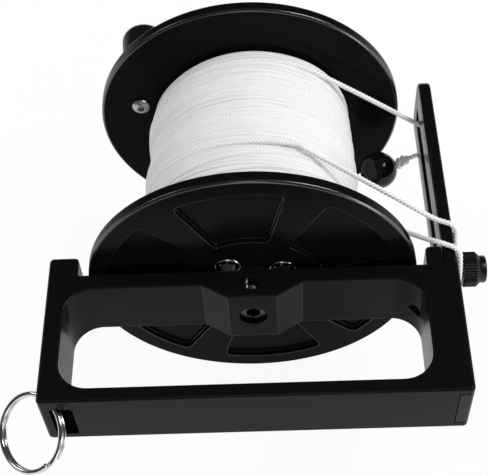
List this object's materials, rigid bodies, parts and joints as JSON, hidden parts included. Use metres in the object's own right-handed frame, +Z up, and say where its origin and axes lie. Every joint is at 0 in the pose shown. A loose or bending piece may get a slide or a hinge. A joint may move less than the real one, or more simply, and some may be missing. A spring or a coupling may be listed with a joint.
{
  "type": "dive reel",
  "caption": "Dive reel: a flanged spool of white line turns on an axle in a yoke frame with a hand loop, a line guide arm, a winding knob and a lock screw.",
  "frame": {"origin": "bottom centre of the box round the rigid pieces, on the plane that the flange rims rest on", "axes": "+X along the grip toward the guide arm, +Y along the axle away from the grip, +Z up"},
  "size_m": [0.1736, 0.1892, 0.12],
  "materials": {
    "anodised": "black anodised, satin, faint grain",
    "black_plastic": "moulded, satin",
    "stainless": "stainless, machined",
    "polished": "bright polished wire",
    "acetal": "white acetal",
    "ball_black": "glossy",
    "line_white": "white braided line"
  },
  "bodies": {
    "frame": {"yoke_frame": "anodised", "axle": "stainless", "axle_set_screw": "stainless", "thrust_washer": "acetal", "end_washer": "stainless", "end_nut": "stainless", "guide_arm": "anodised", "guide_screw_upper": "stainless", "guide_screw_lower": "stainless", "corner_plug": "black_plastic", "line_to_guide": "line_white", "line_bight": "line_white", "stopper_knot": "line_white", "end_ball": "ball_black"},
    "spool": {"near_flange": "anodised", "far_flange": "anodised", "spool_drum": "anodised", "near_bush": "acetal", "far_bush": "acetal", "knob_post": "stainless", "knob_screw": "stainless", "knob_washer": "stainless", "line_core": "line_white", "line_winding": "line_white", "flange_screw_near_1": "stainless", "flange_screw_near_2": "stainless", "flange_screw_near_3": "stainless", "flange_screw_near_4": "stainless", "flange_screw_far_1": "stainless", "flange_screw_far_2": "stainless", "flange_screw_far_3": "stainless", "flange_screw_far_4": "stainless"},
    "winding_knob": {"winding_knob": "black_plastic"},
    "brake_pad": {"brake_pad": "acetal"},
    "lock_knob": {"lock_screw": "stainless", "lock_knob": "anodised"},
    "split_ring": {"split_ring": "polished"}
  },
  "joints": [
    {"name": "spool_turn", "type": "hinge", "parent": "frame", "child": "spool", "pos_m": [0.0013, 0.01748, 0.06], "axis": [0, 1, 0], "continuous": true},
    {"name": "knob_turn", "type": "hinge", "parent": "spool", "child": "winding_knob", "pos_m": [-0.04191, 0.07718, 0.07102], "axis": [0, 1, 0], "continuous": true},
    {"name": "lock_slide", "type": "slide", "parent": "frame", "child": "brake_pad", "axis": [1, 0, 0], "range_m": [-0.0004, 0.004]},
    {"name": "lock_turn", "type": "hinge", "parent": "brake_pad", "child": "lock_knob", "pos_m": [0.0813, -0.02317, 0.0622], "axis": [1, 0, 0], "range_deg": [-206, 2058]},
    {"name": "ring_swing", "type": "hinge", "parent": "frame", "child": "split_ring", "pos_m": [-0.0696, -0.07672, 0.06], "axis": [0, 0, 1], "range_deg": [-19, 21]}
  ],
  "couplings": [
    {"joint": "lock_turn", "follows": "lock_slide", "rad_per_m": 8976}
  ]
}
